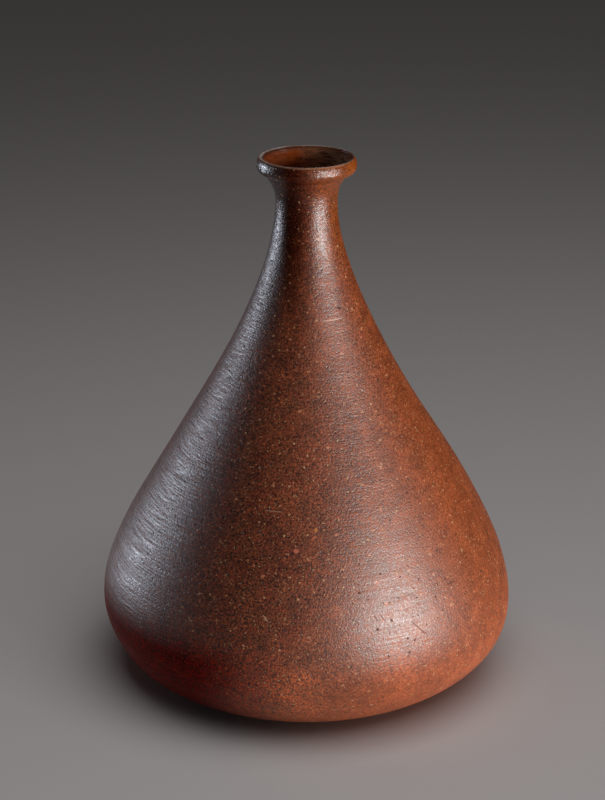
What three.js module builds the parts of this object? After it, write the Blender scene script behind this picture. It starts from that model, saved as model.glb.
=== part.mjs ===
// An unglazed stoneware bottle vase: one hollow body of fired clay with a flat foot, a low full
// belly, a long straight shoulder, a narrow neck, a flared mouth and a rounded collar at the lip.
// Millimetres, +Z up. The origin is the centre of the foot, on the surface the bottle stands on.

import * as THREE from "three";

// Foot: a flat standing ring round a shallow hollow that keeps the base from rocking
const footRadius = 65.4;
const hollowRadius = 47;
const hollowSlopeWidth = 7;
const hollowDepth = 1.8;

// Belly: it leaves the foot almost level and is widest low down
const undersideAngle = 10.6;
const bellyRadius = 115.6;
const bellyHeight = 47.3;
const bellyUpright = 26.2;

// Shoulder and neck: a straight cone, rounded into the belly below and drawn in to the neck above
const shoulderRise = 160.9;
const neckRadius = 16.8;
const neckDraw = 41.2;

// Mouth: the neck flares out to a shallow groove, and the rounded collar stands out above it
const flareRise = 13.9;
const flareWidth = 4.7;
const flareLean = 37;
const grooveWidth = 1.6;
const grooveDepth = 0.2;
const collarOverhang = 5.5;
const collarUndersideRise = 5.7;
const collarTopRise = 4.9;
const collarTopWidth = 1.8;
const lipWidth = 1.6;
const lipDrop = 1.7;

// Wall: thickest at the floor, thinner towards the mouth
const floorThickness = 8.5;
const bellyWall = 6.6;
const shoulderWall = 5.6;
const neckWall = 5;

// Throwing ridge: a low spiral left by the fingertips inside the mouth and the neck
const ridgePitch = 7.2;
const ridgeHeight = 0.35;
const ridgeReach = 22;
const ridgeFade = 6;
const ridgeRowsPerTurn = 4;

// Shape of the curves: where along a line a curve leaves or meets it, as a share of that line
const undersidePull = 0.97;
const bellyBlend = 0.205;
const shoulderJoin = 0.493;
const neckBlend = 0.598;
const flareUpright = 0.4;
const flarePull = 0.33;
const collarRootPull = 0.47;
const collarRootRise = 0.17;
const collarUpright = 0.48;
const throatUpright = 0.15;
const throatBend = 0.53;

// Fineness of the turned surface
const facetsAround = 64;
const undersideSteps = 8;
const bellySteps = 9;
const shoulderSteps = 9;
const flareSteps = 4;
const collarSteps = 4;
const lipSteps = 2;

// Heights and radii that follow from the sizes above
const neckHeight = bellyHeight + bellyUpright + shoulderRise + neckDraw;
const grooveRadius = neckRadius + flareWidth;
const grooveHeight = neckHeight + flareRise;
const collarRadius = grooveRadius + collarOverhang;
const collarHeight = grooveHeight + collarUndersideRise;
const rimHeight = collarHeight + collarTopRise;
const crestRadius = collarRadius - collarTopWidth;
const mouthRadius = crestRadius - lipWidth;
const boreRadius = neckRadius - neckWall;

function at(radius, height) {
  return new THREE.Vector2(radius, height);
}

function along(from, to, share) {
  return from.clone().lerp(to, share);
}

// A curve's points after its first, which the stretch before it already holds
function pointsAfterStart(curve, steps) {
  return curve.getPoints(steps).slice(1);
}

// Underside: out from the foot at a low angle and round into the belly, where its curvature
// equals that of the curve above, so that no line shows at the widest place
function undersideCurve(shoulderStart, belly) {
  const foot = at(footRadius, 0);
  const reach = (bellyRadius - footRadius) * undersidePull;
  const rise = reach * Math.tan(THREE.MathUtils.degToRad(undersideAngle));
  const low = at(footRadius + reach, rise);
  const inset = (bellyRadius - low.x) / (bellyRadius - shoulderStart.x);
  const high = at(bellyRadius, bellyHeight - bellyUpright * Math.sqrt(inset));
  return new THREE.CubicBezierCurve(foot, low, high, belly);
}

// The three long curves of the outside. The shoulder is a straight line between two corners: one
// straight above the belly and one straight below the neck. Each curve is tangent to that line
// and to its upright, so the outline has no kink from the foot to the neck.
function longCurves() {
  const belly = at(bellyRadius, bellyHeight);
  const lowCorner = at(bellyRadius, bellyHeight + bellyUpright);
  const highCorner = at(neckRadius, lowCorner.y + shoulderRise);
  const neck = at(neckRadius, neckHeight);
  const shoulderStart = along(lowCorner, highCorner, bellyBlend);
  const join = along(lowCorner, highCorner, shoulderJoin);
  const shoulderEnd = along(lowCorner, highCorner, neckBlend);
  return [
    {
      curve: undersideCurve(shoulderStart, belly),
      steps: undersideSteps,
      wallBelow: floorThickness,
      wallAbove: bellyWall,
    },
    {
      curve: new THREE.CubicBezierCurve(belly, lowCorner, shoulderStart, join),
      steps: bellySteps,
      wallBelow: bellyWall,
      wallAbove: shoulderWall,
    },
    {
      curve: new THREE.CubicBezierCurve(join, shoulderEnd, highCorner, neck),
      steps: shoulderSteps,
      wallBelow: shoulderWall,
      wallAbove: neckWall,
    },
  ];
}

// The base from its centre, down the slope of the hollow and out across the standing ring
function basePoints() {
  return [
    at(0, hollowDepth),
    at(hollowRadius - hollowSlopeWidth, hollowDepth),
    at(hollowRadius, 0),
    at(footRadius, 0),
  ];
}

// The outside of the mouth: the flare, a tooled groove, the collar's underside and its rounded top
function mouthPoints() {
  const neck = at(neckRadius, neckHeight);
  const groove = at(grooveRadius, grooveHeight);
  const lean = THREE.MathUtils.degToRad(flareLean);
  const upFlare = at(Math.sin(lean), Math.cos(lean));
  const intoWall = at(-upFlare.y, upFlare.x);
  const flareTop = groove.clone().addScaledVector(upFlare, -grooveWidth / 2);
  const grooveBottom = groove.clone().addScaledVector(intoWall, grooveDepth);
  const collarRoot = groove.clone().addScaledVector(upFlare, grooveWidth / 2);
  const flare = new THREE.CubicBezierCurve(
    neck,
    at(neckRadius, neckHeight + flareRise * flareUpright),
    flareTop.clone().addScaledVector(upFlare, -flareRise * flarePull),
    flareTop,
  );
  const overhang = collarRadius - collarRoot.x;
  const rise = collarHeight - collarRoot.y;
  const underside = new THREE.CubicBezierCurve(
    collarRoot,
    at(collarRoot.x + overhang * collarRootPull, collarRoot.y + rise * collarRootRise),
    at(collarRadius, collarHeight - rise * collarUpright),
    at(collarRadius, collarHeight),
  );
  const top = new THREE.EllipseCurve(
    crestRadius, collarHeight, collarTopWidth, collarTopRise, 0, Math.PI / 2, false, 0,
  );
  const lip = new THREE.EllipseCurve(
    crestRadius, rimHeight - lipDrop, lipWidth, lipDrop, Math.PI / 2, Math.PI, false, 0,
  );
  return [
    ...pointsAfterStart(flare, flareSteps),
    grooveBottom,
    collarRoot,
    ...pointsAfterStart(underside, collarSteps),
    ...pointsAfterStart(top, collarSteps),
    ...pointsAfterStart(lip, lipSteps),
  ];
}

// The inside of the mouth, from the lip down the funnel to the bore of the neck, in rows close
// and even enough to hold the throwing ridge
function funnelPoints() {
  const edge = at(mouthRadius, rimHeight - lipDrop);
  const drop = edge.y - neckHeight;
  const throat = new THREE.CubicBezierCurve(
    edge,
    at(mouthRadius, edge.y - drop * throatUpright),
    at(boreRadius, neckHeight + drop * throatBend),
    at(boreRadius, neckHeight),
  );
  const rows = Math.ceil((throat.getLength() / ridgePitch) * ridgeRowsPerTurn);
  return throat.getSpacedPoints(rows).slice(1);
}

// One stretch of the inside, from its top down: the outside curve moved in by the wall there
function innerPoints({ curve, steps, wallBelow, wallAbove }) {
  const points = [];
  for (let step = steps - 1; step >= 0; step -= 1) {
    const share = step / steps;
    const wall = THREE.MathUtils.lerp(wallBelow, wallAbove, share);
    const tangent = curve.getTangent(share);
    points.push(curve.getPoint(share).add(at(-tangent.y, tangent.x).multiplyScalar(wall)));
  }
  return points;
}

// How strongly the throwing ridge shows at a height: full inside the mouth, fading out below
function ridgeStrength(height) {
  const top = rimHeight - lipDrop;
  const fadeIn = THREE.MathUtils.smoothstep(top - height, 0, ridgePitch / 2);
  const fadeOut = 1 - THREE.MathUtils.smoothstep(top - height, ridgeReach - ridgeFade, ridgeReach);
  return fadeIn * fadeOut;
}

// The spiral is pressed into the turned body: each inner point moves in or out with its height
// and its angle, and one turn climbs one pitch, so that the ends of the turn meet
function pressThrowingRidge(geometry, firstInner, pointsInProfile) {
  const place = geometry.attributes.position;
  for (let index = 0; index < place.count; index += 1) {
    const inProfile = index % pointsInProfile;
    const turn = Math.floor(index / pointsInProfile) / facetsAround;
    const height = place.getY(index);
    const strength = inProfile >= firstInner ? ridgeStrength(height) : 0;
    const radius = Math.hypot(place.getX(index), place.getZ(index));
    if (strength > 0 && radius > 0) {
      const wave = Math.cos(2 * Math.PI * (height / ridgePitch - turn));
      const scale = 1 + (strength * ridgeHeight * wave) / radius;
      place.setX(index, place.getX(index) * scale);
      place.setZ(index, place.getZ(index) * scale);
    }
  }
}

function bottleGeometry() {
  const stretches = longCurves();
  const outside = [
    ...basePoints(),
    ...stretches.flatMap(({ curve, steps }) => pointsAfterStart(curve, steps)),
    ...mouthPoints(),
  ];
  const inside = [
    ...funnelPoints(),
    ...stretches.toReversed().flatMap(innerPoints),
    at(0, floorThickness),
  ];
  const profile = [...outside, ...inside];
  const geometry = new THREE.LatheGeometry(profile, facetsAround);
  pressThrowingRidge(geometry, outside.length, profile.length);
  geometry.rotateX(Math.PI / 2);
  return geometry;
}

const stoneware = new THREE.MeshStandardMaterial({
  color: 0x6e3d28,
  roughness: 0.55,
  metalness: 0,
});

const bottle = new THREE.Mesh(bottleGeometry(), stoneware);
bottle.name = "bottle";

const vase = new THREE.Group();
vase.add(bottle);

export default vase;
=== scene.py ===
import math

import bpy
import numpy as np
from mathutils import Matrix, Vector


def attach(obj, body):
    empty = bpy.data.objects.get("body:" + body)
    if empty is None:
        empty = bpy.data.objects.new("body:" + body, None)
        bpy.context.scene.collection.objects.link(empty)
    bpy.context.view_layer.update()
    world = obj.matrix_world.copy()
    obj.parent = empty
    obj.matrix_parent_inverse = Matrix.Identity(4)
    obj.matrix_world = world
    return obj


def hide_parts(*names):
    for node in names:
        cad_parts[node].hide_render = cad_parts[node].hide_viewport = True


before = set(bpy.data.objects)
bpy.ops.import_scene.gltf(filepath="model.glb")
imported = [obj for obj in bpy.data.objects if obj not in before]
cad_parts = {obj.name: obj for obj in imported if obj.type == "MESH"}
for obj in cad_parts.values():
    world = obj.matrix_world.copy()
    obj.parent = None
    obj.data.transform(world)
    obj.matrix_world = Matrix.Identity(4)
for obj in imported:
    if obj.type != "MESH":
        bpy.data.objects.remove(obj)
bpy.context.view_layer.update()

# The bottle's body. Coarse, iron-rich stoneware clay with pale grog, thrown hollow on a wheel in
# one piece: a flat foot, a low full belly, a long straight shoulder and a narrow neck. Its sizes
# are in millimetres, and the curves are the ones that the solid has.
MM = 0.001
FOOT_RADIUS = 65.4
HOLLOW_RADIUS = 47.0
HOLLOW_SLOPE_WIDTH = 7.0
HOLLOW_DEPTH = 1.8
UNDERSIDE_ANGLE = 10.6
UNDERSIDE_PULL = 0.97
BELLY_RADIUS = 115.6
BELLY_HEIGHT = 47.3
BELLY_UPRIGHT = 26.2
BELLY_BLEND = 0.205
SHOULDER_JOIN = 0.493
SHOULDER_RISE = 160.9
NECK_BLEND = 0.598
NECK_RADIUS = 16.8
NECK_DRAW = 41.2
NECK_HEIGHT = BELLY_HEIGHT + BELLY_UPRIGHT + SHOULDER_RISE + NECK_DRAW
CENTRE_RING = 1.0
CURVE_SAMPLES = 400


def bend(start, pull_from, pull_to, end, rows):
    """A smooth curve with points at even distances. A point at share t is the sum of the four
    given points, weighted with the four terms of ((1 - t) + t) cubed."""
    t = np.linspace(0, 1, CURVE_SAMPLES)[:, None]
    weights = [(1 - t) ** 3, 3 * (1 - t) ** 2 * t, 3 * (1 - t) * t**2, t**3]
    points = sum(w * np.array(p, float) for w, p in zip(weights, (start, pull_from, pull_to, end)))
    steps = np.linalg.norm(np.diff(points, axis=0), axis=1)
    distance = np.concatenate([[0], np.cumsum(steps)])
    stops = np.linspace(0, distance[-1], rows)
    return np.stack([np.interp(stops, distance, points[:, axis]) for axis in (0, 1)], 1)


low_corner = np.array([BELLY_RADIUS, BELLY_HEIGHT + BELLY_UPRIGHT])
high_corner = np.array([NECK_RADIUS, low_corner[1] + SHOULDER_RISE])
shoulder_line = high_corner - low_corner
shoulder_start = low_corner + shoulder_line * BELLY_BLEND
shoulder_join = low_corner + shoulder_line * SHOULDER_JOIN
shoulder_end = low_corner + shoulder_line * NECK_BLEND
under_reach = (BELLY_RADIUS - FOOT_RADIUS) * UNDERSIDE_PULL
under_low = (FOOT_RADIUS + under_reach, under_reach * math.tan(math.radians(UNDERSIDE_ANGLE)))
under_share = (BELLY_RADIUS - under_low[0]) / (BELLY_RADIUS - shoulder_start[0])
under_high = (BELLY_RADIUS, BELLY_HEIGHT - BELLY_UPRIGHT * math.sqrt(under_share))
belly_point = (BELLY_RADIUS, BELLY_HEIGHT)
neck_point = (NECK_RADIUS, NECK_HEIGHT)

hollow_edge = (HOLLOW_RADIUS - HOLLOW_SLOPE_WIDTH, HOLLOW_DEPTH)
base = np.array([(CENTRE_RING, HOLLOW_DEPTH), hollow_edge, (HOLLOW_RADIUS, 0), (FOOT_RADIUS, 0)])
underside = bend((FOOT_RADIUS, 0), under_low, under_high, belly_point, rows=42)
belly = bend(belly_point, low_corner, shoulder_start, shoulder_join, rows=58)
shoulder = bend(shoulder_join, shoulder_end, high_corner, neck_point, rows=78)

# The mouth. The neck flares out to a shallow tooled groove, and the clay above it is rolled into a
# rounded collar. The hand left the collar fuller on the right of the front, and its lip thicker
# on the left, so the outline is worked out for each of these sides.
FLARE_RISE = 13.9
FLARE_WIDTH = 4.7
FLARE_LEAN = math.radians(37)
FLARE_UPRIGHT = 0.4
FLARE_PULL = 0.33
GROOVE_WIDTH = 1.6
GROOVE_DEPTH = 0.2
COLLAR_OVERHANG = 5.5
COLLAR_UNDERSIDE_RISE = 5.7
COLLAR_ROOT_PULL = 0.52
COLLAR_ROOT_RISE = 0.22
COLLAR_SIDE_UPRIGHT = 0.5
COLLAR_TOP_RISE = 4.9
COLLAR_TOP_WIDTH = 1.8
LIP_WIDTH = 1.6
LIP_DROP = 1.7
COLLAR_FULLNESS = 0.03
LIP_DIFFERENCE = 0.7
BORE_RADIUS = 11.8
THROAT_UPRIGHT = 0.15
THROAT_BEND = 0.53
GROOVE_RADIUS = NECK_RADIUS + FLARE_WIDTH
GROOVE_HEIGHT = NECK_HEIGHT + FLARE_RISE
COLLAR_RADIUS = GROOVE_RADIUS + COLLAR_OVERHANG
COLLAR_HEIGHT = GROOVE_HEIGHT + COLLAR_UNDERSIDE_RISE
RIM_HEIGHT = COLLAR_HEIGHT + COLLAR_TOP_RISE
CREST_RADIUS = COLLAR_RADIUS - COLLAR_TOP_WIDTH
EDGE_HEIGHT = RIM_HEIGHT - LIP_DROP


def quarter(centre_radius, centre_height, width, rise, first_angle, rows):
    """A quarter of an ellipse: the centre plus (width * cos a, rise * sin a), a from first_angle."""
    a = first_angle + np.linspace(0, math.pi / 2, rows)
    return np.stack([centre_radius + width * np.cos(a), centre_height + rise * np.sin(a)], 1)


def mouth_outline(side):
    """The outline from the neck over the collar to the bore, at the left (-1) or right (1)."""
    up = np.array([math.sin(FLARE_LEAN), math.cos(FLARE_LEAN)])
    inward = np.array([-up[1], up[0]])
    groove = np.array([GROOVE_RADIUS, GROOVE_HEIGHT])
    flare_top = groove - up * GROOVE_WIDTH / 2
    collar_root = groove + up * GROOVE_WIDTH / 2
    flare_start = (NECK_RADIUS, NECK_HEIGHT + FLARE_RISE * FLARE_UPRIGHT)
    flare = bend(neck_point, flare_start, flare_top - up * FLARE_RISE * FLARE_PULL, flare_top, rows=22)
    t = np.linspace(-1, 1, num=7)[:, None]
    dip = groove + up * t * GROOVE_WIDTH / 2 + inward * GROOVE_DEPTH * (0.5 + 0.5 * np.cos(math.pi * t))
    collar_side = np.array([COLLAR_RADIUS, COLLAR_HEIGHT])
    overhang, rise = collar_side - collar_root
    fuller = COLLAR_FULLNESS * side
    root_reach = np.array([overhang * (COLLAR_ROOT_PULL + fuller), rise * (COLLAR_ROOT_RISE - fuller / 2)])
    side_pull = (COLLAR_RADIUS, COLLAR_HEIGHT - rise * (COLLAR_SIDE_UPRIGHT + fuller))
    collar_low = bend(collar_root, collar_root + root_reach, side_pull, collar_side, rows=14)
    collar_top = quarter(CREST_RADIUS, COLLAR_HEIGHT, COLLAR_TOP_WIDTH, COLLAR_TOP_RISE, 0, rows=12)
    lip_width = LIP_WIDTH - LIP_DIFFERENCE * side
    lip = quarter(CREST_RADIUS, EDGE_HEIGHT, lip_width, LIP_DROP, math.pi / 2, rows=10)
    edge_radius = CREST_RADIUS - lip_width
    drop = EDGE_HEIGHT - NECK_HEIGHT
    throat_start = (edge_radius, EDGE_HEIGHT - drop * THROAT_UPRIGHT)
    throat_end = (BORE_RADIUS, NECK_HEIGHT + drop * THROAT_BEND)
    throat = bend((edge_radius, EDGE_HEIGHT), throat_start, throat_end, (BORE_RADIUS, NECK_HEIGHT), rows=34)
    return [flare[1:], dip[1:], collar_low[1:], collar_top[1:], lip[1:], throat[1:]]


# The inside. The wall is thickest at the floor and thinner towards the neck, so the inner outline
# is the outer one moved into the clay.
WALLS = {"floor": 8.5, "belly": 6.6, "shoulder": 5.6, "neck": 5.0}
FLOOR_RING = 30.0


def inside_of(outer, wall_below, wall_above, rows):
    """The outline from its top down, each point moved along its normal by a wall that changes
    evenly from wall_below to wall_above."""
    along = np.gradient(outer, axis=0)
    along /= np.linalg.norm(along, axis=1)[:, None]
    wall = np.linspace(wall_below, wall_above, len(outer))[:, None]
    inner = outer + np.stack([-along[:, 1], along[:, 0]], 1) * wall
    return inner[np.linspace(len(inner) - 1, 0, rows).astype(int)][1:]


inside = [
    inside_of(shoulder, WALLS["shoulder"], WALLS["neck"], rows=16),
    inside_of(belly, WALLS["belly"], WALLS["shoulder"], rows=12),
    inside_of(underside, WALLS["floor"], WALLS["belly"], rows=12),
    np.array([(FLOOR_RING, WALLS["floor"]), (CENTRE_RING, WALLS["floor"])]),
]
outside = [base, underside[1:], belly[1:], shoulder[1:]]
left_outline = np.concatenate(outside + mouth_outline(-1) + inside)
right_outline = np.concatenate(outside + mouth_outline(1) + inside)
outline = (left_outline + right_outline) / 2
to_the_right = (right_outline - left_outline) / 2
height = outline[:, 1]
run = np.concatenate([[0], np.cumsum(np.linalg.norm(np.diff(outline, axis=0), axis=1))])
lip_row = int(np.argmax(height))
lip_run = run[lip_row]

# The hand's marks. The turning body was never quite true: at some heights the right side stands
# out further than the left, the wall wavers slightly, and the fingers left soft rings outside, a
# fine ridge below the collar and a clear spiral inside the mouth.
COLUMNS = 300
# Height, spread, and how far out the right side stands there
UNEVEN_PLACES = [
    (27, 12, 1.0),
    (62, 12, -0.35),
    (125, 28, 0.95),
    (205, 30, 0.3),
    (262, 14, -0.2),
    (286, 7, -0.5),
]
WAVER = 0.1
WAVER_COUNTS = (2, 3, 4, 5)
WAVER_TWIST = 0.02
RING_PITCHES = (8.5, 12.4, 19.0)
RING_HEIGHT = 0.02
RING_EVENNESS = 0.6
SPIRAL_PITCH = 7.2
SPIRAL_HEIGHT = 0.35
SPIRAL_REACH = 26.0
RIDGE_HEIGHT = 287.3
RIDGE_WIDTH = 0.7
RIDGE_RELIEF = 0.16
FOOT_FADE = 6.0
rng = np.random.default_rng(seed=11)
theta = np.arange(COLUMNS) * (2 * math.pi / COLUMNS)
across, tall = theta[None, :], height[:, None]
is_outside = (np.arange(len(height)) <= lip_row)[:, None]
offset = np.zeros((len(height), COLUMNS))
for place, spread, amount in UNEVEN_PLACES:
    offset += amount * np.exp(-(((tall - place) / spread) ** 2)) * np.sin(across)
for waves in WAVER_COUNTS:
    twist = tall * rng.uniform(-WAVER_TWIST, WAVER_TWIST)
    offset += WAVER / waves * np.cos(waves * across + twist + rng.uniform(0, 2 * math.pi))
for pitch in RING_PITCHES:
    strength = RING_EVENNESS + (1 - RING_EVENNESS) * np.cos(across + rng.uniform(0, 2 * math.pi))
    turn = 2 * math.pi * run[:, None] / pitch - across + rng.uniform(0, 2 * math.pi)
    offset += np.where(is_outside, RING_HEIGHT * strength * np.cos(turn), 0)
offset += RIDGE_RELIEF * np.exp(-(((tall - RIDGE_HEIGHT) / RIDGE_WIDTH) ** 2)) * is_outside
below_edge = EDGE_HEIGHT - tall
fade = np.clip(below_edge / SPIRAL_PITCH, 0, 1) * np.clip(2 - 2 * below_edge / SPIRAL_REACH, 0, 1)
spiral = SPIRAL_HEIGHT * fade * np.cos(2 * math.pi * tall / SPIRAL_PITCH - across)
offset += np.where(is_outside, 0, spiral)
offset *= np.clip(tall / FOOT_FADE, 0, 1)

# The mesh turns the outline about the upright axis: column by column the angle grows from the
# front towards the right, and each point stands at its radius plus the hand's offset.
radius = outline[:, :1] + to_the_right[:, :1] * np.sin(across) + offset
rise = tall + to_the_right[:, 1:] * np.sin(across)
points = np.stack([radius * np.sin(across), -radius * np.cos(across), rise], 2).reshape(-1, 3)
points = np.concatenate([points, [[0, 0, HOLLOW_DEPTH], [0, 0, WALLS["floor"]]]])
rows = len(height)
row, column = np.meshgrid(np.arange(rows - 1), np.arange(COLUMNS), indexing="ij")
beside = (column + 1) % COLUMNS
this_row, next_row = row * COLUMNS, (row + 1) * COLUMNS
corners = [this_row + column, this_row + beside, next_row + beside, next_row + column]
quads = np.stack(corners, 2).reshape(-1, 4)
first, last = np.arange(COLUMNS), np.arange(COLUMNS) + (rows - 1) * COLUMNS
base_centre, floor_centre = rows * COLUMNS, rows * COLUMNS + 1
base_fan = np.stack([np.full(COLUMNS, base_centre), np.roll(first, -1), first], 1)
floor_fan = np.stack([np.full(COLUMNS, floor_centre), last, np.roll(last, -1)], 1)
mesh = bpy.data.meshes.new("thrown_bottle")
mesh.from_pydata((points * MM).tolist(), [], quads.tolist() + base_fan.tolist() + floor_fan.tolist())
mesh.polygons.foreach_set("use_smooth", np.ones(len(mesh.polygons), bool))

# Marks that run round the bottle follow an attribute, in millimetres: the angle is wrapped on a
# drum of WRAP_RADIUS, which closes without a seam, and the third value is the way up the outline.
WRAP_RADIUS = 40.0
wrapped = [np.sin(across) * WRAP_RADIUS, -np.cos(across) * WRAP_RADIUS, run[:, None]]
turning = np.stack(np.broadcast_arrays(*wrapped), 2).reshape(-1, 3)
turning = np.concatenate([turning, [[0, 0, 0], [0, 0, run[-1]]]])
mesh.attributes.new("turning", "FLOAT_VECTOR", "POINT").data.foreach_set("vector", turning.ravel())
mesh.update()
bottle = bpy.data.objects.new("thrown_bottle", mesh)
bpy.context.collection.objects.link(bottle)
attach(bottle, "root")
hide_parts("bottle")


# The clay. Unglazed stoneware, wiped with a wet sponge on the wheel and fired hard: the iron turned
# rust red where air reached it and dark brown where it didn't, the skin sealed to a satin
# sheen, and the pale grog, small pits and fine wiping lines stay open to view.
def linear(hex_colour):
    """An sRGB hex colour as the linear values that the renderer takes."""
    parts = [int(hex_colour[k : k + 2], 16) / 255 for k in (1, 3, 5)]
    return [c / 12.92 if c <= 0.04045 else ((c + 0.055) / 1.055) ** 2.4 for c in parts] + [1.0]


def add(tree, kind, inputs, **settings):
    """Adds a node with its settings. Each input takes a value or another node's output, and the
    new node's outputs come back by name."""
    new = tree.nodes.new(kind)
    for name, value in settings.items():
        setattr(new, name, value)
    sockets = {socket.identifier: socket for socket in new.inputs}
    for name, value in inputs.items():
        if isinstance(value, bpy.types.NodeSocket):
            tree.links.new(value, sockets[name])
        else:
            sockets[name].default_value = value
    return {socket.identifier: socket for socket in new.outputs}


clay = bpy.data.materials.new("unglazed_iron_stoneware")
clay.use_nodes = True
tree = clay.node_tree
shader = tree.nodes["Principled BSDF"]
mesh.materials.append(clay)
here = add(tree, "ShaderNodeTexCoord", {})["Object"]
here = add(tree, "ShaderNodeVectorMath", {"Vector": here, "Scale": 1 / MM}, operation="SCALE")["Vector"]
around = add(tree, "ShaderNodeAttribute", {}, attribute_name="turning")["Vector"]
place_here = add(tree, "ShaderNodeSeparateXYZ", {"Vector": here})
right_here, height_here = place_here["X"], place_here["Z"]
turned_here = add(tree, "ShaderNodeSeparateXYZ", {"Vector": around})
facing_right, run_here = turned_here["X"], turned_here["Z"]

# Firing colours. The clay fired dark on the left, rust red on the right and orange near the foot,
# with soft borders that drift up to DRIFT millimetres. Ranges of side and height are in
# millimetres to the right of the axis and above the table, here and below.
DARK_CLAY = "#5a2614"
RUST_CLAY = "#7a3b1e"
FOOT_CLAY = "#a24f29"
CLOUD_SIZE = 42.0
DRIFT = 26.0
clouds = add(
    tree, "ShaderNodeTexNoise", {"Vector": here, "Scale": 1 / CLOUD_SIZE, "Detail": 3.0, "Roughness": 0.55}
)["Fac"]
drift = add(
    tree,
    "ShaderNodeMapRange",
    {"Value": clouds, "From Min": 0.3, "From Max": 0.7, "To Min": -DRIFT, "To Max": DRIFT},
)["Result"]
side = add(tree, "ShaderNodeMath", {"Value": right_here, "Value_001": drift}, operation="ADD")["Value"]
rusty = add(
    tree,
    "ShaderNodeMapRange",
    {"Value": side, "From Min": -60.0, "From Max": 75.0},
    interpolation_type="SMOOTHSTEP",
)["Result"]
lower = add(tree, "ShaderNodeMath", {"Value": height_here, "Value_001": drift}, operation="ADD")["Value"]
near_foot = add(
    tree,
    "ShaderNodeMapRange",
    {"Value": lower, "From Min": 68.0, "From Max": 5.0, "To Max": 0.92},
    interpolation_type="SMOOTHSTEP",
)["Result"]
orange_side = add(
    tree, "ShaderNodeMapRange", {"Value": right_here, "From Min": -75.0, "From Max": 15.0, "To Min": 0.25}
)["Result"]
near_foot = add(
    tree, "ShaderNodeMath", {"Value": near_foot, "Value_001": orange_side}, operation="MULTIPLY"
)["Value"]

# The right of the neck and the collar took more flame and are golden.
GOLDEN_CLAY = "#783804"
neck_up = add(
    tree,
    "ShaderNodeMapRange",
    {"Value": height_here, "From Min": 175.0, "From Max": 262.0},
    interpolation_type="SMOOTHSTEP",
)["Result"]
flamed_up = add(
    tree, "ShaderNodeMapRange", {"Value": height_here, "From Min": 240.0, "From Max": 270.0}
)["Result"]
flamed_side = add(
    tree, "ShaderNodeMapRange", {"Value": right_here, "From Min": -2.0, "From Max": 17.0, "To Max": 0.75}
)["Result"]
flamed = add(
    tree, "ShaderNodeMath", {"Value": flamed_up, "Value_001": flamed_side}, operation="MULTIPLY"
)["Value"]

# Painted shade: the shaded left half of the neck up to the collar is painted almost black, and the
# shaded left of the underside near the foot is painted as a deep red shadow
NECK_SHADOW_PAINT = "#240602"
UNDERSIDE_SHADOW_PAINT = "#570702"
neck_left = add(
    tree,
    "ShaderNodeMapRange",
    {"Value": right_here, "From Min": 9.5, "From Max": -8.0, "To Max": 0.88},
    interpolation_type="SMOOTHSTEP",
)["Result"]
neck_painted_shade = add(
    tree, "ShaderNodeMath", {"Value": neck_up, "Value_001": neck_left}, operation="MULTIPLY"
)["Value"]
foot_low = add(
    tree,
    "ShaderNodeMapRange",
    {"Value": height_here, "From Min": 71.0, "From Max": 48.0},
    interpolation_type="SMOOTHSTEP",
)["Result"]
foot_left = add(
    tree,
    "ShaderNodeMapRange",
    {"Value": right_here, "From Min": -2.0, "From Max": -62.0, "To Max": 0.95},
    interpolation_type="SMOOTHSTEP",
)["Result"]
underside_painted_shade = add(
    tree, "ShaderNodeMath", {"Value": foot_low, "Value_001": foot_left}, operation="MULTIPLY"
)["Value"]
# Firing colours, then the last two layers: painted shade on the neck's left and under the belly's left
body_colour = linear(DARK_CLAY)
firing_colours_and_painted_shade = [
    (rusty, RUST_CLAY),
    (near_foot, FOOT_CLAY),
    (flamed, GOLDEN_CLAY),
    (neck_painted_shade, NECK_SHADOW_PAINT),
    (underside_painted_shade, UNDERSIDE_SHADOW_PAINT),
]
for share, clay_colour in firing_colours_and_painted_shade:
    body_colour = add(
        tree,
        "ShaderNodeMix",
        {"Factor_Float": share, "A_Color": body_colour, "B_Color": linear(clay_colour)},
        data_type="RGBA",
    )["Result_Color"]

# Where the clay is clean. Little grog shows through the painted shade of the neck and the underside
# or on the golden neck, but the outermost left edge of the neck is as gritty as the body.
neck_edge = add(
    tree, "ShaderNodeMapRange", {"Value": right_here, "From Min": -14.5, "From Max": -10.0}
)["Result"]
neck_painted_shade_core = add(
    tree, "ShaderNodeMath", {"Value": neck_painted_shade, "Value_001": neck_edge}, operation="MULTIPLY"
)["Value"]
painted_shade_patches = add(
    tree, "ShaderNodeMath", {"Value": underside_painted_shade, "Value_001": neck_painted_shade_core}, operation="MAXIMUM"
)["Value"]
clean_foot = add(
    tree, "ShaderNodeMapRange", {"Value": underside_painted_shade, "To Min": 1.0, "To Max": 0.07}
)["Result"]
bare_neck = add(
    tree, "ShaderNodeMath", {"Value": neck_painted_shade_core, "Value_001": flamed}, operation="MAXIMUM"
)["Value"]
clean_neck = add(
    tree, "ShaderNodeMapRange", {"Value": bare_neck, "To Min": 1.0, "To Max": 0.1}
)["Result"]
clean_share = add(
    tree, "ShaderNodeMath", {"Value": clean_foot, "Value_001": clean_neck}, operation="MULTIPLY"
)["Value"]

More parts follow.
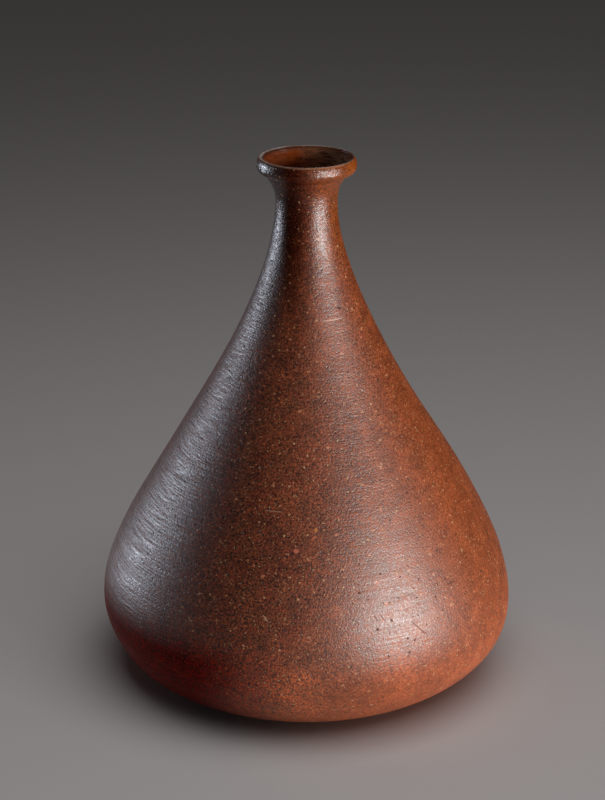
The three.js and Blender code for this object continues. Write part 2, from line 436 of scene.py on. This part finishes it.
# Mottling up to a centimetre across, which calms down near the foot
MOTTLE_SIZE = 9.0
MOTTLE_DEPTH = 0.28
CALM_FOOT = 0.45
mottle = add(
    tree, "ShaderNodeTexNoise", {"Vector": here, "Scale": 1 / MOTTLE_SIZE, "Detail": 3.0, "Roughness": 0.65}
)["Fac"]
mottle = add(
    tree,
    "ShaderNodeMapRange",
    {
        "Value": mottle,
        "From Min": 0.3,
        "From Max": 0.7,
        "To Min": 1 - MOTTLE_DEPTH,
        "To Max": 1 + MOTTLE_DEPTH,
    },
)["Result"]
calm_foot = add(
    tree, "ShaderNodeMapRange", {"Value": near_foot, "To Min": 1.0, "To Max": CALM_FOOT}
)["Result"]
mottle = add(tree, "ShaderNodeMath", {"Value": mottle, "Value_001": 1.0}, operation="SUBTRACT")["Value"]
mottle = add(
    tree,
    "ShaderNodeMath",
    {"Value": mottle, "Value_001": calm_foot, "Value_002": 1.0},
    operation="MULTIPLY_ADD",
)["Value"]

# Wiping lines that run round the bottle, fainter towards the right. The sponge's real lines are
# finer than half a millimetre, and are drawn WIPING_PITCH apart so that they show.
WIPING_PITCH = 0.78
WIPING_LENGTH = 8.0
WIPING_DEPTH = 0.14
stretched = add(
    tree,
    "ShaderNodeMapping",
    {"Vector": around, "Scale": (1 / WIPING_LENGTH, 1 / WIPING_LENGTH, 1 / WIPING_PITCH)},
)["Vector"]
wiping = add(
    tree, "ShaderNodeTexNoise", {"Vector": stretched, "Scale": 1.0, "Detail": 1.0, "Roughness": 0.5}
)["Fac"]
wiping_depth = add(
    tree, "ShaderNodeMapRange", {"Value": rusty, "To Min": 1.0, "To Max": 0.35}
)["Result"]
wiping = add(tree, "ShaderNodeMath", {"Value": wiping, "Value_001": 0.5}, operation="SUBTRACT")["Value"]
wiping = add(
    tree,
    "ShaderNodeMath",
    {"Value": wiping, "Value_001": wiping_depth, "Value_002": 0.5},
    operation="MULTIPLY_ADD",
)["Value"]
wiping_tone = add(
    tree,
    "ShaderNodeMapRange",
    {
        "Value": wiping,
        "From Min": 0.3,
        "From Max": 0.7,
        "To Min": 1 - WIPING_DEPTH,
        "To Max": 1 + WIPING_DEPTH,
    },
)["Result"]

# The grain of the coarse clay, which shows more on the dark side and less on the golden neck. Real
# grains are finer than half a millimetre, and are drawn GRAIN_SIZE across so that they show.
GRAIN_SIZE = 1.15
GRAIN_CONTRAST_DARK = 6.2
GRAIN_CONTRAST_RUST = 2.3
GRAIN_DARKEST_DARK = 0.15
GRAIN_DARKEST_RUST = 0.6
SMOOTH_NECK = 0.35
grain = add(
    tree, "ShaderNodeTexNoise", {"Vector": here, "Scale": 1 / GRAIN_SIZE, "Detail": 2.0, "Roughness": 0.7}
)["Fac"]
grain_contrast = add(
    tree,
    "ShaderNodeMapRange",
    {"Value": rusty, "To Min": GRAIN_CONTRAST_DARK, "To Max": GRAIN_CONTRAST_RUST},
)["Result"]
smooth_neck = add(
    tree, "ShaderNodeMapRange", {"Value": flamed, "To Min": 1.0, "To Max": SMOOTH_NECK}
)["Result"]
grain_contrast = add(
    tree, "ShaderNodeMath", {"Value": grain_contrast, "Value_001": smooth_neck}, operation="MULTIPLY"
)["Value"]
grain_tone = add(tree, "ShaderNodeMath", {"Value": grain, "Value_001": 0.5}, operation="SUBTRACT")["Value"]
grain_tone = add(
    tree,
    "ShaderNodeMath",
    {"Value": grain_tone, "Value_001": grain_contrast, "Value_002": 1.0},
    operation="MULTIPLY_ADD",
)["Value"]
grain_floor = add(
    tree,
    "ShaderNodeMapRange",
    {"Value": rusty, "To Min": GRAIN_DARKEST_DARK, "To Max": GRAIN_DARKEST_RUST},
)["Result"]
grain_tone = add(
    tree, "ShaderNodeMath", {"Value": grain_tone, "Value_001": grain_floor}, operation="MAXIMUM"
)["Value"]

# Olive patches on the dark side, where ash settled. They, the mottling, the lines and the grain
# tint the firing colours.
OLIVE_CLAY = "#5e4026"
OLIVE_SIZE = 12.0
OLIVE_SHARE = 0.25
olive = add(
    tree, "ShaderNodeTexNoise", {"Vector": here, "Scale": 1 / OLIVE_SIZE, "Detail": 4.0, "Roughness": 0.7}
)["Fac"]
olive = add(
    tree, "ShaderNodeMapRange", {"Value": olive, "From Min": 0.42, "From Max": 0.66, "To Max": OLIVE_SHARE}
)["Result"]
olive_side = add(tree, "ShaderNodeMapRange", {"Value": rusty, "To Min": 1.0, "To Max": 0.15})["Result"]
olive_low = add(tree, "ShaderNodeMapRange", {"Value": neck_up, "To Min": 1.0, "To Max": 0.0})["Result"]
for pattern in (olive_side, olive_low, clean_share):
    olive = {"Value": olive, "Value_001": pattern}
    olive = add(tree, "ShaderNodeMath", olive, operation="MULTIPLY")["Value"]
body_colour = add(
    tree,
    "ShaderNodeMix",
    {"Factor_Float": olive, "A_Color": body_colour, "B_Color": linear(OLIVE_CLAY)},
    data_type="RGBA",
)["Result_Color"]
tone = mottle
for pattern in (wiping_tone, grain_tone):
    tone = add(tree, "ShaderNodeMath", {"Value": tone, "Value_001": pattern}, operation="MULTIPLY")["Value"]
body_colour = add(
    tree,
    "ShaderNodeMix",
    {"Factor_Float": 1.0, "A_Color": body_colour, "B_Color": tone},
    data_type="RGBA",
    blend_type="MULTIPLY",
)["Result_Color"]

# Grog and pits. Crushed fired clay in two sizes, tan and pale, and small holes where grains came
# out, which are painted dark as shade in them. Each layer is a scatter of crumbled grains in the clay that
# the surface cuts through.
CRUMB_SIZE = 1.2
CRUMB_REACH = 2.0
GRAIN_EDGE = 0.12
crumble = add(tree, "ShaderNodeTexNoise", {"Vector": here, "Scale": 1 / CRUMB_SIZE, "Detail": 1.0})["Color"]
crumble = add(
    tree, "ShaderNodeVectorMath", {"Vector": crumble, "Scale": CRUMB_REACH}, operation="SCALE"
)["Vector"]
crumbled = add(
    tree, "ShaderNodeVectorMath", {"Vector": here, "Vector_001": crumble}, operation="ADD"
)["Vector"]


def scatter(spacing, share, largest, shift, length=1.0):
    """Grains about spacing apart, in millimetres, and length times as long round the bottle as up
    it. A grain's radius grows with a random value over 1 - share up to largest, and the mask is 1
    inside it and falls to 0 at its edge."""
    frame_of_grains = {
        "Vector": crumbled,
        "Location": (shift, shift, shift),
        "Scale": (1 / length, 1 / length, 1),
    }
    moved = add(tree, "ShaderNodeMapping", frame_of_grains)["Vector"]
    cells = add(tree, "ShaderNodeTexVoronoi", {"Vector": moved, "Scale": 1 / spacing})
    chance = add(tree, "ShaderNodeSeparateColor", {"Color": cells["Color"]})["Red"]
    size = {"Value": chance, "From Min": 1 - share, "To Max": largest / spacing}
    reach = add(tree, "ShaderNodeMapRange", size)["Result"]
    depth = {"Value": reach, "Value_001": cells["Distance"]}
    depth = add(tree, "ShaderNodeMath", depth, operation="SUBTRACT")["Value"]
    edge = {"Value": depth, "From Max": GRAIN_EDGE / spacing}
    return add(tree, "ShaderNodeMapRange", edge)["Result"], cells["Color"]


GROG_TAN = "#ab865d"
GROG_PALE = "#c6946f"
GROG_RUST = "#b5623c"
PIT_SHADE_PAINT = "#1c0c07"
FINE_STRENGTH_DARK = 0.66
FINE_STRENGTH_RUST = 0.52
COARSE_STRENGTH = 0.62
fine_grog, _ = scatter(spacing=1.5, share=0.85, largest=0.48, shift=0.0)
clear_grog, _ = scatter(spacing=2.6, share=0.6, largest=0.62, shift=29.0)
coarse_grog, coarse_tint = scatter(spacing=3.2, share=0.5, largest=0.75, shift=37.0, length=1.5)
dragged_grog, _ = scatter(spacing=2.4, share=0.35, largest=0.45, shift=63.0, length=3.0)
fine_pits, _ = scatter(spacing=1.8, share=0.7, largest=0.42, shift=91.0, length=1.5)
open_pits, _ = scatter(spacing=5.2, share=0.8, largest=0.75, shift=17.0)
pitted = add(tree, "ShaderNodeMapRange", {"Value": rusty, "To Min": 1.0, "To Max": 0.5})["Result"]
fine_pits = add(
    tree, "ShaderNodeMath", {"Value": fine_pits, "Value_001": pitted}, operation="MULTIPLY"
)["Value"]
clear_strength = add(
    tree, "ShaderNodeMapRange", {"Value": bare_neck, "To Min": 1.5, "To Max": 0.9}
)["Result"]
clear_grog = add(
    tree, "ShaderNodeMath", {"Value": clear_grog, "Value_001": clear_strength}, operation="MULTIPLY"
)["Value"]
fine_grog = add(
    tree, "ShaderNodeMath", {"Value": fine_grog, "Value_001": clean_neck}, operation="MULTIPLY"
)["Value"]
fine_grog = add(
    tree, "ShaderNodeMath", {"Value": fine_grog, "Value_001": clear_grog}, operation="MAXIMUM"
)["Value"]
grog_strength = add(
    tree,
    "ShaderNodeMapRange",
    {"Value": rusty, "To Min": FINE_STRENGTH_DARK, "To Max": FINE_STRENGTH_RUST},
)["Result"]
grog_strength = add(
    tree, "ShaderNodeMath", {"Value": grog_strength, "Value_001": clean_foot}, operation="MULTIPLY"
)["Value"]
fine_share = add(
    tree, "ShaderNodeMath", {"Value": fine_grog, "Value_001": grog_strength}, operation="MULTIPLY"
)["Value"]
tint = add(tree, "ShaderNodeSeparateColor", {"Color": coarse_tint})["Green"]
coarse_colour = add(
    tree,
    "ShaderNodeMix",
    {"Factor_Float": tint, "A_Color": linear(GROG_PALE), "B_Color": linear(GROG_RUST)},
    data_type="RGBA",
)["Result_Color"]
coarse_share = add(
    tree, "ShaderNodeMath", {"Value": coarse_grog, "Value_001": dragged_grog}, operation="MAXIMUM"
)["Value"]
for pattern in (COARSE_STRENGTH, clean_share):
    coarse_share = add(
        tree, "ShaderNodeMath", {"Value": coarse_share, "Value_001": pattern}, operation="MULTIPLY"
    )["Value"]
for share, grog_colour in ((fine_share, linear(GROG_TAN)), (coarse_share, coarse_colour)):
    body_colour = add(
        tree,
        "ShaderNodeMix",
        {"Factor_Float": share, "A_Color": body_colour, "B_Color": grog_colour},
        data_type="RGBA",
    )["Result_Color"]

# Inside the mouth the clay was only roughly wiped: it stays dry and more orange, and the tool tore
# it into short dashes at the right and the back, which are painted dark as shade. Its colour is also
# painted lighter as painted light, paler towards the right. The lip's crest is painted pale, partly
# wear and partly a painted highlight where the edge catches light.
INSIDE_CLAY_PAINTED_LIGHTER = "#ba561e"
INSIDE_PAINTED_LIGHT = "#c59a78"
INSIDE_STRENGTH = 0.8
WORN_LIP_AND_HIGHLIGHT = "#c08a6c"
WORN_STRENGTH = 0.6
TORN_LENGTH = 12.0
TORN_PITCH = 1.7
TORN_SHIFT = 5.0
TORN_STRENGTH = 0.8
inside_here = add(
    tree, "ShaderNodeMapRange", {"Value": run_here, "From Min": lip_run + 1.0, "From Max": lip_run + 4.0}
)["Result"]
inside_painted_light_share = add(
    tree, "ShaderNodeMath", {"Value": inside_here, "Value_001": INSIDE_STRENGTH}, operation="MULTIPLY"
)["Value"]
painted_light_side = add(
    tree, "ShaderNodeMapRange", {"Value": right_here, "From Min": -6.0, "From Max": 14.0}
)["Result"]
# Painted light: the inside is painted lighter than the clay, and paler towards the right
inside_painted_light_colour = add(
    tree,
    "ShaderNodeMix",
    {"Factor_Float": painted_light_side, "A_Color": linear(INSIDE_CLAY_PAINTED_LIGHTER), "B_Color": linear(INSIDE_PAINTED_LIGHT)},
    data_type="RGBA",
)["Result_Color"]
torn_frame = {
    "Vector": around,
    "Location": (TORN_SHIFT, 0.0, 0.0),
    "Scale": (1 / TORN_LENGTH, 1 / TORN_LENGTH, 1 / TORN_PITCH),
}
torn = add(tree, "ShaderNodeMapping", torn_frame)["Vector"]
torn = add(
    tree, "ShaderNodeTexNoise", {"Vector": torn, "Scale": 1.0, "Detail": 2.0, "Roughness": 0.6}
)["Fac"]
torn = add(
    tree, "ShaderNodeMapRange", {"Value": torn, "From Min": 0.52, "From Max": 0.6, "To Max": TORN_STRENGTH}
)["Result"]
torn_side = add(
    tree, "ShaderNodeMapRange", {"Value": right_here, "From Min": -8.0, "From Max": 4.0, "To Min": 0.55}
)["Result"]
for pattern in (inside_here, torn_side):
    torn = add(tree, "ShaderNodeMath", {"Value": torn, "Value_001": pattern}, operation="MULTIPLY")["Value"]
from_crest = add(
    tree, "ShaderNodeMath", {"Value": run_here, "Value_001": lip_run}, operation="SUBTRACT"
)["Value"]
from_crest = add(tree, "ShaderNodeMath", {"Value": from_crest}, operation="ABSOLUTE")["Value"]
# The crest's pale line is partly wear and partly a painted highlight where the edge catches light
wear_and_highlight = add(
    tree,
    "ShaderNodeMapRange",
    {"Value": from_crest, "From Min": 1.6, "From Max": 0.5, "To Max": WORN_STRENGTH},
)["Result"]
wear_and_highlight_side = add(
    tree,
    "ShaderNodeMapRange",
    {"Value": right_here, "From Min": 15.0, "From Max": 22.0, "To Min": 1.0, "To Max": 0.2},
)["Result"]
wear_and_highlight = add(tree, "ShaderNodeMath", {"Value": wear_and_highlight, "Value_001": wear_and_highlight_side}, operation="MULTIPLY")["Value"]
for share, mouth_colour in ((inside_painted_light_share, inside_painted_light_colour), (wear_and_highlight, linear(WORN_LIP_AND_HIGHLIGHT))):
    body_colour = add(
        tree,
        "ShaderNodeMix",
        {"Factor_Float": share, "A_Color": body_colour, "B_Color": mouth_colour},
        data_type="RGBA",
    )["Result_Color"]


# Single marks of this bottle: open pits and three scratches, most of them low on the right of the
# front and painted dark as shade in them, larger grains of rust and pale grog, and three pale
# strokes on the shoulder and the belly
def mark(place, reach, lean):
    """The mask of a mark: 1 inside an ellipsoid at place, in millimetres, whose half lengths are
    reach, turned by lean degrees clockwise as seen from the front, and 0 outside."""
    own_frame = {"Vector": here, "Location": place, "Rotation": (0, math.radians(lean), 0), "Scale": reach}
    centred = add(tree, "ShaderNodeMapping", own_frame, vector_type="TEXTURE")["Vector"]
    distance = add(tree, "ShaderNodeVectorMath", {"Vector": centred}, operation="LENGTH")["Value"]
    return add(tree, "ShaderNodeMapRange", {"Value": distance, "From Min": 1.0, "From Max": 0.6})["Result"]


MARK_STRENGTH = 0.8
PIT_STRENGTH = 0.75
# Place, half lengths, lean and colour
grain_marks = [
    ((41.9, -97.9, 82.5), (1.2, 2.5, 1.0), 0, GROG_RUST),
    ((50.1, -95.9, 78.8), (2.0, 2.7, 1.6), 20, "#6b3a28"),
    ((50.1, -95.9, 78.8), (1.4, 3.0, 1.0), 20, "#a8745a"),
    ((37.0, -94.6, 93.2), (1.0, 2.5, 1.0), 0, GROG_RUST),
    ((4.8, -86.6, 120.1), (0.9, 2.5, 1.3), 0, "#c07a3c"),
    ((-5.7, -92.1, 110.5), (1.5, 2.5, 1.3), 0, "#b5604a"),
    ((13.5, -29.1, 217.6), (7.0, 6.5, 0.42), 0, "#c09480"),
    ((-17.5, -80.0, 128.0), (7.0, 4.0, 0.3), 0, "#96725c"),
    ((-21.7, -106.2, 78.1), (2.8, 2.5, 0.5), 50, "#b08a72"),
]
for place, reach, lean, grain_colour in grain_marks:
    share = {"Value": mark(place, reach, lean), "Value_001": MARK_STRENGTH}
    share = add(tree, "ShaderNodeMath", share, operation="MULTIPLY")["Value"]
    body_colour = add(
        tree,
        "ShaderNodeMix",
        {"Factor_Float": share, "A_Color": body_colour, "B_Color": linear(grain_colour)},
        data_type="RGBA",
    )["Result_Color"]
# Place, half lengths, lean and depth as a share
hollow_marks = [
    ((-18.4, -18.3, 233.2), (0.7, 2.5, 0.7), 0, 1.0),
    ((-41.7, -90.9, 96.1), (0.7, 2.5, 0.8), 0, 1.0),
    ((37.2, -104.7, 70.9), (1.0, 2.5, 0.8), 0, 0.8),
    ((44.7, -100.5, 74.2), (1.2, 2.5, 0.45), 45, 0.8),
    ((53.6, -100.0, 63.3), (0.8, 2.5, 0.6), 0, 0.9),
    ((57.4, -98.3, 61.6), (0.5, 2.5, 0.9), 30, 0.9),
    ((68.8, -83.0, 79.6), (0.6, 2.5, 0.6), 0, 1.0),
    ((72.9, -83.3, 72.1), (0.5, 2.5, 0.7), 0, 0.9),
    ((95.6, -49.9, 79.6), (1.0, 1.5, 0.8), 0, 1.0),
    ((60.2, -94.7, 66.5), (8.3, 6.0, 0.26), 46, 0.55),
    ((40.2, -101.6, 75.9), (2.9, 3.0, 0.25), 51, 0.55),
    ((36.4, -102.8, 76.5), (2.4, 3.0, 0.25), 46, 0.55),
]
holes = fine_pits
for pattern in (open_pits, torn):
    holes = add(tree, "ShaderNodeMath", {"Value": holes, "Value_001": pattern}, operation="MAXIMUM")["Value"]
for place, reach, lean, depth in hollow_marks:
    hollow = {"Value": mark(place, reach, lean), "Value_001": depth}
    hollow = add(tree, "ShaderNodeMath", hollow, operation="MULTIPLY")["Value"]
    holes = add(tree, "ShaderNodeMath", {"Value": holes, "Value_001": hollow}, operation="MAXIMUM")["Value"]
# Painted shade: the holes, the scratches and the torn dashes are painted dark where shade falls in them
hole_painted_shade = add(
    tree, "ShaderNodeMath", {"Value": holes, "Value_001": PIT_STRENGTH}, operation="MULTIPLY"
)["Value"]
body_colour = add(
    tree,
    "ShaderNodeMix",
    {"Factor_Float": hole_painted_shade, "A_Color": body_colour, "B_Color": linear(PIT_SHADE_PAINT)},
    data_type="RGBA",
)["Result_Color"]
tree.links.new(body_colour, shader.inputs["Base Color"])

# Relief, in millimetres: wiping lines and grain about a tenth high, grog that stands a little
# proud, and open holes. The side that faced the flame is smoother.
WIPING_RELIEF = 0.18
GRAIN_RELIEF = 0.31
FINE_GROG_RELIEF = 0.03
COARSE_GROG_RELIEF = 0.04
HOLE_RELIEF = -0.2
relief = add(
    tree, "ShaderNodeMath", {"Value": wiping, "Value_001": WIPING_RELIEF}, operation="MULTIPLY"
)["Value"]
relief_layers = [
    (grain, GRAIN_RELIEF),
    (fine_grog, FINE_GROG_RELIEF),
    (coarse_share, COARSE_GROG_RELIEF),
    (holes, HOLE_RELIEF),
]
for pattern, relief_height in relief_layers:
    relief = add(
        tree,
        "ShaderNodeMath",
        {"Value": pattern, "Value_001": relief_height, "Value_002": relief},
        operation="MULTIPLY_ADD",
    )["Value"]
rough_side = add(tree, "ShaderNodeMapRange", {"Value": rusty, "To Min": 1.0, "To Max": 0.65})["Result"]
relief = add(
    tree, "ShaderNodeMath", {"Value": relief, "Value_001": rough_side}, operation="MULTIPLY"
)["Value"]
bumped = add(tree, "ShaderNodeBump", {"Height": relief, "Distance": MM, "Strength": 1.0})["Normal"]
tree.links.new(bumped, shader.inputs["Normal"])

# The sheen. The sealed skin is satin and varies with the grain and the lines. Holes and the dry
# inside of the mouth are rougher, and the flamed neck is smoother.
SATIN_LEAST = 0.24
SATIN_MOST = 0.6
HOLE_ROUGHER = 0.4
INSIDE_ROUGHER = 0.3
NECK_SMOOTHER = -0.12
CLAY_IOR = 1.65
skin = add(tree, "ShaderNodeMath", {"Value": grain, "Value_001": wiping}, operation="ADD")["Value"]
skin = add(tree, "ShaderNodeMath", {"Value": skin, "Value_001": 0.5}, operation="MULTIPLY")["Value"]
satin = add(
    tree,
    "ShaderNodeMapRange",
    {"Value": skin, "From Min": 0.3, "From Max": 0.7, "To Min": SATIN_LEAST, "To Max": SATIN_MOST},
)["Result"]
for pattern, added in ((holes, HOLE_ROUGHER), (inside_here, INSIDE_ROUGHER), (flamed_up, NECK_SMOOTHER)):
    satin = add(
        tree,
        "ShaderNodeMath",
        {"Value": pattern, "Value_001": added, "Value_002": satin},
        operation="MULTIPLY_ADD",
    )["Value"]
tree.links.new(satin, shader.inputs["Roughness"])
shader.inputs["IOR"].default_value = CLAY_IOR

# The gloss. The side that faced the flame never sealed, and the painted shade of the neck and the
# underside is kept dull too, so they hardly shine; the dry inside of the mouth and the golden neck
# shine less. Elsewhere the smooth spots of the skin shine more than the gritty ones.
GLOSS = 0.5
DULL_SIDE_FROM = 0.78 * WRAP_RADIUS
DULL_SIDE_TO = 0.98 * WRAP_RADIUS
DULL_SIDE = 0.9
DULL_NECK = 0.3
DULL_INSIDE = 0.6
BURNISH_DARK = 4.2
BURNISH_RUST = 2.6
facing = {"Value": facing_right, "From Min": DULL_SIDE_FROM, "From Max": DULL_SIDE_TO, "To Max": DULL_SIDE}
dull_side = add(tree, "ShaderNodeMapRange", facing)["Result"]
neck_flame = add(
    tree, "ShaderNodeMath", {"Value": neck_up, "Value_001": flamed_side}, operation="MULTIPLY"
)["Value"]
neck_flame = add(
    tree, "ShaderNodeMath", {"Value": neck_flame, "Value_001": DULL_NECK}, operation="MULTIPLY"
)["Value"]
dry_inside = add(
    tree, "ShaderNodeMath", {"Value": inside_here, "Value_001": DULL_INSIDE}, operation="MULTIPLY"
)["Value"]
dull = painted_shade_patches
for pattern in (dull_side, neck_flame, dry_inside):
    dull = add(tree, "ShaderNodeMath", {"Value": dull, "Value_001": pattern}, operation="MAXIMUM")["Value"]
gloss = add(tree, "ShaderNodeMapRange", {"Value": dull, "To Min": GLOSS, "To Max": 0.0})["Result"]
burnish = add(tree, "ShaderNodeMath", {"Value": 0.5, "Value_001": skin}, operation="SUBTRACT")["Value"]
burnish_depth = add(
    tree, "ShaderNodeMapRange", {"Value": rusty, "To Min": BURNISH_DARK, "To Max": BURNISH_RUST}
)["Result"]
burnish = add(
    tree,
    "ShaderNodeMath",
    {"Value": burnish, "Value_001": burnish_depth, "Value_002": 1.0},
    operation="MULTIPLY_ADD",
)["Value"]
gloss = add(tree, "ShaderNodeMath", {"Value": gloss, "Value_001": burnish}, operation="MULTIPLY")["Value"]
tree.links.new(gloss, shader.inputs["Specular IOR Level"])

# The floor. Wide, plain, pale backdrop paper that takes the bottle's soft shadow. It reaches far
# behind the bottle and fades to the even grey of the air around, so that no edge shows. Sizes and
# places are in metres, here and for the lamps.
FLOOR_HALF = 9.0
FLOOR_PALE = "#bcb8b7"
FLOOR_FAR = "#000000"
PALE_CENTRE = (0.12, -0.7, 0.0)
PALE_REACH = 5.05
AIR_TINT = "#fff5f3"
AIR_GREY = 0.037
floor_mesh = bpy.data.meshes.new("studio_floor")
floor_corners = [(x * FLOOR_HALF, y * FLOOR_HALF, 0) for x, y in ((-1, -1), (1, -1), (1, 1), (-1, 1))]
floor_mesh.from_pydata(floor_corners, [], [(0, 1, 2, 3)])
floor = bpy.data.objects.new("studio_floor", floor_mesh)
bpy.context.collection.objects.link(floor)
paper = bpy.data.materials.new("matt_backdrop_paper")
paper.use_nodes = True
paper_tree = paper.node_tree
floor_mesh.materials.append(paper)
floor_place = add(paper_tree, "ShaderNodeTexCoord", {})["Object"]
floor_reach = {"Vector": floor_place, "Vector_001": PALE_CENTRE}
floor_reach = add(paper_tree, "ShaderNodeVectorMath", floor_reach, operation="DISTANCE")["Value"]
far_away = add(
    paper_tree,
    "ShaderNodeMapRange",
    {"Value": floor_reach, "From Max": PALE_REACH},
    interpolation_type="SMOOTHSTEP",
)["Result"]
paper_colour = add(
    paper_tree,
    "ShaderNodeMix",
    {"Factor_Float": far_away, "A_Color": linear(FLOOR_PALE), "B_Color": linear(FLOOR_FAR)},
    data_type="RGBA",
)["Result_Color"]
far_glow = {"Value": far_away, "Value_001": AIR_GREY}
far_glow = add(paper_tree, "ShaderNodeMath", far_glow, operation="MULTIPLY")["Value"]
paper_shader = paper_tree.nodes["Principled BSDF"]
paper_tree.links.new(paper_colour, paper_shader.inputs["Base Color"])
paper_tree.links.new(far_glow, paper_shader.inputs["Emission Strength"])
paper_shader.inputs["Emission Color"].default_value = linear(AIR_TINT)
paper_shader.inputs["Roughness"].default_value = 1.0
paper_shader.inputs["Specular IOR Level"].default_value = 0.0

# The lamps. A soft box and a low strip under it stand at the right front, a cool strip behind on
# the left with a weaker one above it, and a weak lamp high behind the bottle. Their light passes
# over the floor, which has a soft box of its own, almost straight above and slightly in front.
SOFT_WHITE = "#f8f7f5"
COOL_WHITE = "#eaf0ff"
PLAIN_WHITE = "#ffffff"
BODY_AIM = (0, 0, 0.2)


def lamp(name, place, aim, colour, keeps_off, width, tall, radiance):
    """A rectangle of light at place that faces aim. Its watts are its radiance times pi and its
    area. It doesn't light keeps_off, which still casts its shadow."""
    data = bpy.data.lights.new(name, "AREA")
    data.shape = "RECTANGLE"
    data.size = width
    data.size_y = tall
    data.energy = radiance * math.pi * width * tall
    data.color = linear(colour)[:3]
    obj = bpy.data.objects.new(name, data)
    obj.location = place
    obj.rotation_euler = (Vector(aim) - obj.location).to_track_quat("-Z", "Y").to_euler()
    obj.visible_camera = False
    unlit = bpy.data.collections.new(name + "_keeps_off")
    unlit.objects.link(keeps_off)
    unlit.collection_objects[0].light_linking.link_state = "EXCLUDE"
    obj.light_linking.receiver_collection = unlit
    bpy.context.collection.objects.link(obj)


lamp("key_softbox", (0.756, -0.654, 0.26), BODY_AIM, SOFT_WHITE, floor, width=0.6, tall=0.5, radiance=14.0)
lamp("low_strip", (0.645, -0.486, 0.06), (0, 0, 0.06), SOFT_WHITE, floor, width=0.5, tall=0.1, radiance=9.5)
lamp("left_strip", (-1.798, 0.877, 0.2), BODY_AIM, COOL_WHITE, floor, width=0.5, tall=0.38, radiance=22.5)
lamp("left_upper", (-1.798, 0.877, 0.65), BODY_AIM, COOL_WHITE, floor, width=0.4, tall=0.5, radiance=1.9)
lamp("back_fill", (0, 1.6, 1.45), BODY_AIM, PLAIN_WHITE, floor, width=0.9, tall=0.9, radiance=2.0)
lamp("top_softbox", (0.28, -0.46, 1.2), (0, 0, 0), PLAIN_WHITE, bottle, width=1.3, tall=1.3, radiance=2.1)

# The air around is evenly grey, which fills the shadows softly.
world = bpy.data.worlds.new("studio")
bpy.context.scene.world = world
world.use_nodes = True
air = world.node_tree.nodes["Background"]
air.inputs["Color"].default_value = linear(AIR_TINT)
air.inputs["Strength"].default_value = AIR_GREY

# The camera stands where the photograph was taken from, 20 degrees above level. Its place is in
# millimetres, and its lens suits a sensor 36 mm wide.
CAMERA_PLACE = (-2.3, -1161.1, 589.5)
CAMERA_TILT = 69.75
CAMERA_LENS = 100.04
SENSOR_WIDTH = 36.0
camera_data = bpy.data.cameras.new("camera")
camera_data.sensor_width = SENSOR_WIDTH
camera_data.lens = CAMERA_LENS
camera = bpy.data.objects.new("camera", camera_data)
camera.location = [v * MM for v in CAMERA_PLACE]
camera.rotation_euler = (math.radians(CAMERA_TILT), 0, 0)
bpy.context.collection.objects.link(camera)
bpy.context.scene.camera = camera
bpy.context.scene.view_settings.view_transform = "Standard"
